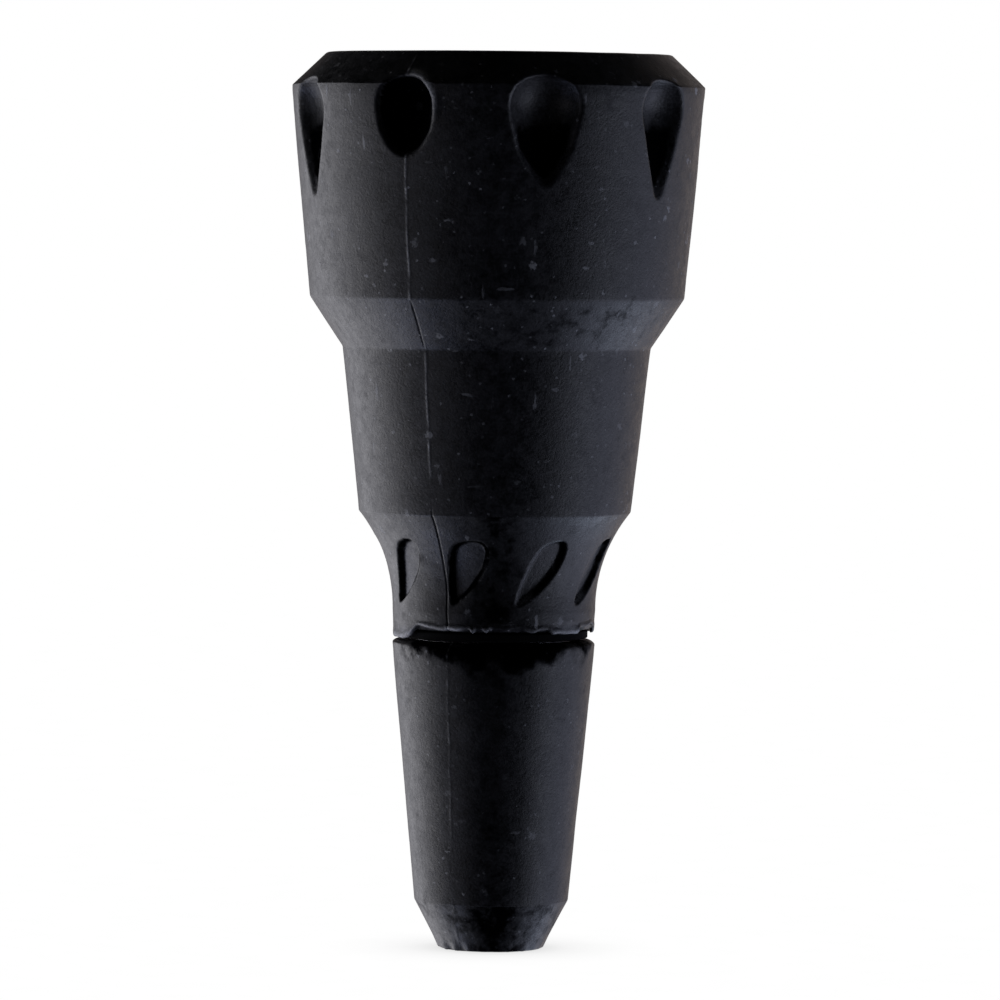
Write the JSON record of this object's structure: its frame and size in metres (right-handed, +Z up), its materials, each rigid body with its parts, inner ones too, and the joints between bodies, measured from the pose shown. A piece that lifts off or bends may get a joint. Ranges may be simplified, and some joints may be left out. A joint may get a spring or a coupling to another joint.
{
  "type": "saliva ejector tip",
  "caption": "Dimpled rubber grip that swivels on a tapered rubber plug, with an open mouth that seals round a disposable ejector tube.",
  "frame": {"origin": "centre of the plug's end face, the small end, which points down", "axes": "+Z runs up the axis from the plug to the mouth, -Y is the front with the mould seam a little to its left"},
  "size_m": [0.0207, 0.0207, 0.0448],
  "materials": {
    "grip_rubber": "matt moulded, black, fine grain",
    "plug_rubber": "matt moulded, black, fine grain",
    "seal_rubber": "smooth moulded, dark grey",
    "liner_plastic": "moulded, black",
    "mouth_plastic": "moulded, black, satin",
    "socket_plastic": "moulded, dark grey",
    "bearing_plastic": "moulded, black, low friction",
    "strainer_plastic": "moulded, pale grey",
    "stem_metal": "turned",
    "ring_metal": "spring wire"
  },
  "bodies": {
    "plug": {"plug_cone": "plug_rubber", "plug_stem": "stem_metal", "snap_ring": "ring_metal", "lower_washer": "bearing_plastic"},
    "grip": {"grip_sleeve": "grip_rubber", "swivel_body": "liner_plastic", "swivel_o_ring": "seal_rubber", "upper_washer": "bearing_plastic", "ejector_socket": "socket_plastic", "ejector_seal": "seal_rubber", "mouth_ring": "mouth_plastic"},
    "strainer": {"strainer_cup": "strainer_plastic"}
  },
  "joints": [
    {"name": "grip_swivel", "type": "hinge", "parent": "plug", "child": "grip", "pos_m": [0, 0, 0.0161], "axis": [0, 0, 1], "continuous": true},
    {"name": "strainer_lift", "type": "slide", "parent": "grip", "child": "strainer", "axis": [0, 0, 1], "range_m": [0, 0.018]}
  ]
}
